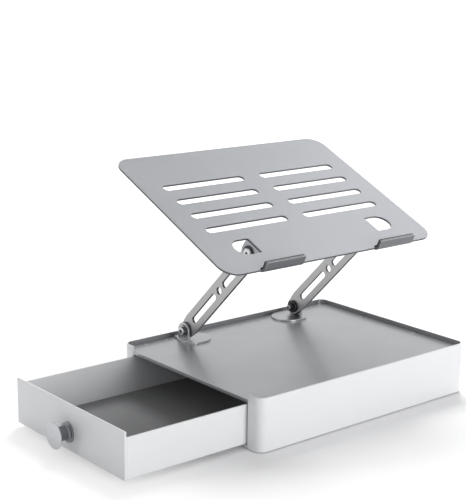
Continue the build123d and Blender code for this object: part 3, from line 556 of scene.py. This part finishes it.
# Each hinge is stacked on a short bolt: washer, bracket or ear, friction washer or spacer,
# arm, disc spring and nut. The bolts and the lower washers are plated, with a trace of oil
# at the joints and painted shade in the socket; the rest is blackened steel, worn grey on its
# edges.
BLACKENED = (0.028, 0.029, 0.032, 1.0)
BLACKENED_WORN = (0.16, 0.16, 0.165, 1.0)
BLACK_PATCH = 1.6
BLACK_GRAIN = 0.25
BLACK_DEPTH = 0.004
BLACK_ROUNDING = 0.3
BLACK_ROUGHNESS, BLACK_DULLER = 0.3, 0.25
WORN_EDGE_SHARE, WORN_ABOVE = 0.7, 0.55
LOWER_PIVOT = (88.0, 61.8)
UPPER_PIVOT = (-18.3, 168.1)
SOCKET_RADIUS = 1.8
LOWER_JOINTS = (4.8, 6.4)
blackened = Finish("blackened_steel", {"Metallic": 0.7, "Coat Weight": 0.15})
black_mottle = blackened.noise(blackened.place(), BLACK_PATCH, detail=4.0, roughness=0.6)
black_grain = blackened.noise(blackened.place(), BLACK_GRAIN, detail=2.0)
black_normals = blackened.rounded(BLACK_ROUNDING)
black_rubbed = blackened.edge(black_normals) * WORN_EDGE_SHARE
black_worn = (black_rubbed + (black_mottle - WORN_ABOVE).limited()).limited()
blackened.vary("Base Color", blackened.mix(black_worn, BLACKENED, BLACKENED_WORN))
blackened.vary("Roughness", BLACK_ROUGHNESS + black_mottle * BLACK_DULLER)
blackened.relief(black_grain, BLACK_DEPTH, black_normals)
lower_zinc = plated("lower_pivot_zinc", LOWER_PIVOT, SOCKET_RADIUS, LOWER_JOINTS)
upper_zinc = plated("upper_pivot_zinc", UPPER_PIVOT, SOCKET_RADIUS)
for side in ("left", "right"):
    dress(lower_zinc, f"lower_bolt_{side}", f"lower_washer_{side}")
    dress(upper_zinc, f"upper_bolt_{side}")
    dress(blackened, f"lower_nut_{side}", f"upper_nut_{side}", f"upper_washer_{side}")
    dress(blackened, f"disc_spring_{side}", f"upper_spring_{side}")
    dress(blackened, f"friction_spacer_{side}", f"friction_washer_{side}")


# The plate is one 2.4 mm aluminium sheet: eight vents, two ears bent down beside their
# D-shaped windows, and two hooks bent up at the front. It is bead blasted and anodised
# evenly grey; its edges are painted brighter as a highlight, and the cut faces and the
# hooks' fronts are painted darker as shade.
BLASTED = (0.30, 0.31, 0.33, 1.0)
BLASTED_PALE = (0.38, 0.39, 0.41, 1.0)
BLASTED_EDGE_HIGHLIGHT = (0.80, 0.805, 0.81, 1.0)
CUT_FACE_SHADE = (0.035, 0.037, 0.04, 1.0)
HOOK_FACE_SHADE = (0.17, 0.175, 0.185, 1.0)
PLATE_TILT = radians(24.0)
PLATE_FRONT = (-60.7, 162.7)
CUT_TOP = -0.5
CUT_BOTTOM = -1.9
HOOK_FACE_FROM = 1.4
HOOK_MIDDLE = 78.0
HOOK_HALF = 26.0
BLAST_GRAIN = 0.28
BLAST_CLOUD = 70.0
BLAST_DEPTH = 0.006
BLAST_ROUNDING = 0.6
BLAST_ROUGHNESS, BLAST_CLOUD_SWING, BLAST_GRAIN_SWING = 0.4, 0.1, 0.12
PALE_CLOUD_SHARE, PALE_GRAIN_SHARE = 0.7, 0.25
BLAST_EDGE_HIGHLIGHT_SHARE, CUT_FACE_SHADE_SHARE = 0.9, 0.85
blasted = Finish("blasted_aluminium", {"Metallic": 0.6})
blast_place = blasted.place()
blast_grain = blasted.noise(blast_place, BLAST_GRAIN, detail=2.0, roughness=0.6)
blast_clouds = blasted.noise(blast_place, BLAST_CLOUD, detail=3.0)
blast_normals = blasted.rounded(BLAST_ROUNDING)
blast_edge = blasted.edge(blast_normals)
blast_y = blasted.part_of(blast_place, "Y") - PLATE_FRONT[0]
blast_z = blasted.part_of(blast_place, "Z") - PLATE_FRONT[1]
blast_back = blast_y * cos(PLATE_TILT) + blast_z * sin(PLATE_TILT)
blast_up = blast_z * cos(PLATE_TILT) - blast_y * sin(PLATE_TILT)
blast_aside = abs(abs(blasted.part_of(blast_place, "X")) - HOOK_MIDDLE)
blast_hook_shade = (blast_back < HOOK_FACE_FROM) * (blast_aside < HOOK_HALF)
blast_cut_shade = (blast_up < CUT_TOP) * (blast_up > CUT_BOTTOM) * (1 - blast_hook_shade)
blast_pale = blast_clouds * PALE_CLOUD_SHARE + blast_grain * PALE_GRAIN_SHARE
blast_shade = blasted.mix(blast_pale, BLASTED, BLASTED_PALE)
# The hooks' fronts are painted darker: painted shade.
blast_shade = blasted.mix(blast_hook_shade, blast_shade, HOOK_FACE_SHADE)
# Edges are painted brighter: a painted highlight.
blast_shade = blasted.mix(blast_edge * BLAST_EDGE_HIGHLIGHT_SHARE, blast_shade, BLASTED_EDGE_HIGHLIGHT)
# The cut faces are painted dark: painted shade.
blasted.vary("Base Color", blasted.mix(blast_cut_shade * CUT_FACE_SHADE_SHARE, blast_shade, CUT_FACE_SHADE))
blast_dull = BLAST_ROUGHNESS + blast_clouds.swing(BLAST_CLOUD_SWING)
blasted.vary("Roughness", blast_dull + blast_grain.swing(BLAST_GRAIN_SWING))
blasted.relief(blast_grain, BLAST_DEPTH, blast_normals)
dress(blasted, "platform_plate")


# Soft black rubber pads line the hooks, so that what leans on them isn't scratched. They
# are glued in and carry the same grain as the feet.
dress(rubber, "hook_pad_left", "hook_pad_right")


# The stand is photographed on a white table that runs out into a white studio. Near the
# object the table takes its soft shadow; further out it fades into plain white.
TABLE_SIZE = 40.0
TABLE_WHITE = (0.93, 0.93, 0.935, 1.0)
TABLE_ROUGHNESS = 0.6
TABLE_GLOW = (1.0, 1.0, 1.0, 1.0)
TABLE_GLOW_STRENGTH = 1.3
FADE_START = 0.2
FADE_END = 0.44
VEIL = 0.06
table_half = TABLE_SIZE / 2
table_mesh = bpy.data.meshes.new("table")
table_mesh.from_pydata(
    [(x * table_half, y * table_half, 0.0) for x, y in ((-1, -1), (1, -1), (1, 1), (-1, 1))],
    [],
    [(0, 1, 2, 3)],
)
table = bpy.data.objects.new("table", table_mesh)
bpy.context.scene.collection.objects.link(table)
tabletop = Finish("white_table", {"Base Color": TABLE_WHITE, "Roughness": TABLE_ROUGHNESS})
table_place = tabletop.place([1 / MILLIMETRES] * 3)
table_away = tabletop.vector("LENGTH", table_place, output="Value")
table_fade = ((table_away - FADE_START) / (FADE_END - FADE_START)).limited()
table_seen = tabletop.node("ShaderNodeLightPath", {}, {}, "Is Camera Ray")
table_mirrored = tabletop.node("ShaderNodeLightPath", {}, {}, "Is Glossy Ray")
table_glow = tabletop.node(
    "ShaderNodeEmission", {}, {"Color": TABLE_GLOW, "Strength": TABLE_GLOW_STRENGTH}
)
table_share = VEIL + (1 - VEIL) * table_fade
table_mixed = tabletop.node(
    "ShaderNodeMixShader",
    {},
    {
        0: table_share * (table_seen + table_mirrored).limited(),
        1: Wire(tabletop, tabletop.shader.outputs[0]),
        2: table_glow,
    },
)
tabletop.feed(tabletop.tree.nodes["Material Output"].inputs["Surface"], table_mixed)
table_mesh.materials.append(tabletop.material)


# The studio is a white room, full white where it is seen or mirrored and weaker as a light.
# A broad low lamp fills from the front. The strongest hangs high behind on the right and is
# screened from the polished faces; two weak ones graze the left side and the plate.
ROOM_LIGHT = 0.40
AIM = Vector((0.0, 0.0, 0.08))
LAMPS = (
    ("front_lamp", (0.15, -1.85, 0.3), 0.8, 15.0, True),
    ("back_lamp", (0.75, 0.8, 1.5), 0.8, 26.0, False),
    ("side_lamp", (-1.6, 0.7, 0.3), 0.6, 1.8, True),
    ("plate_lamp", (1.7, 0.55, 1.7), 0.8, 3.0, True),
)
world = bpy.data.worlds.new("studio")
world.use_nodes = True
bpy.context.scene.world = world
room = Nodes(world.node_tree)
room_seen = room.node("ShaderNodeLightPath", {}, {}, "Is Camera Ray")
room_mirrored = room.node("ShaderNodeLightPath", {}, {}, "Is Glossy Ray")
room_level = ROOM_LIGHT + (1 - ROOM_LIGHT) * (room_seen + room_mirrored).limited()
backdrop = room.tree.nodes["Background"]
room.feed(backdrop.inputs["Color"], (1.0, 1.0, 1.0, 1.0))
room.feed(backdrop.inputs["Strength"], room_level)
for name, spot, size, power, mirrored in LAMPS:
    lamp_data = bpy.data.lights.new(name, "AREA")
    lamp_data.shape = "DISK"
    lamp_data.size = size
    lamp_data.energy = power
    lamp = bpy.data.objects.new(name, lamp_data)
    lamp.location = spot
    lamp.visible_glossy = mirrored
    lamp.rotation_euler = (AIM - lamp.location).to_track_quat("-Z", "Y").to_euler()
    bpy.context.scene.collection.objects.link(lamp)


# The camera stands in front and to the left, a little above the plate, with a long lens.
# It looks past the stand, so its place is given by a point behind the box's right end.
VIEW_AZIMUTH = radians(-39.85)
VIEW_ELEVATION = radians(13.34)
VIEW_ROLL = radians(0.74)
VIEW_DISTANCE = 1.8879
VIEW_POINT = Vector((0.2994, 0.4642, 0.0252))
VIEW_LENS = 97.78
SENSOR_WIDTH = 36.0
level_back = Vector((sin(VIEW_AZIMUTH), -cos(VIEW_AZIMUTH), 0.0))
back = level_back * cos(VIEW_ELEVATION) + Vector((0.0, 0.0, sin(VIEW_ELEVATION)))
across = Vector((0.0, 0.0, 1.0)).cross(back).normalized()
upward = back.cross(across)
rolled_across = across * cos(VIEW_ROLL) + upward * sin(VIEW_ROLL)
rolled_upward = upward * cos(VIEW_ROLL) - across * sin(VIEW_ROLL)
camera_data = bpy.data.cameras.new("camera")
camera_data.sensor_fit = "HORIZONTAL"
camera_data.sensor_width = SENSOR_WIDTH
camera_data.lens = VIEW_LENS
camera = bpy.data.objects.new("camera", camera_data)
camera.matrix_world = (
    Matrix.Translation(VIEW_POINT + back * VIEW_DISTANCE)
    @ Matrix((rolled_across, rolled_upward, back)).transposed().to_4x4()
)
bpy.context.scene.collection.objects.link(camera)
bpy.context.scene.camera = camera
bpy.context.scene.view_settings.view_transform = "Standard"
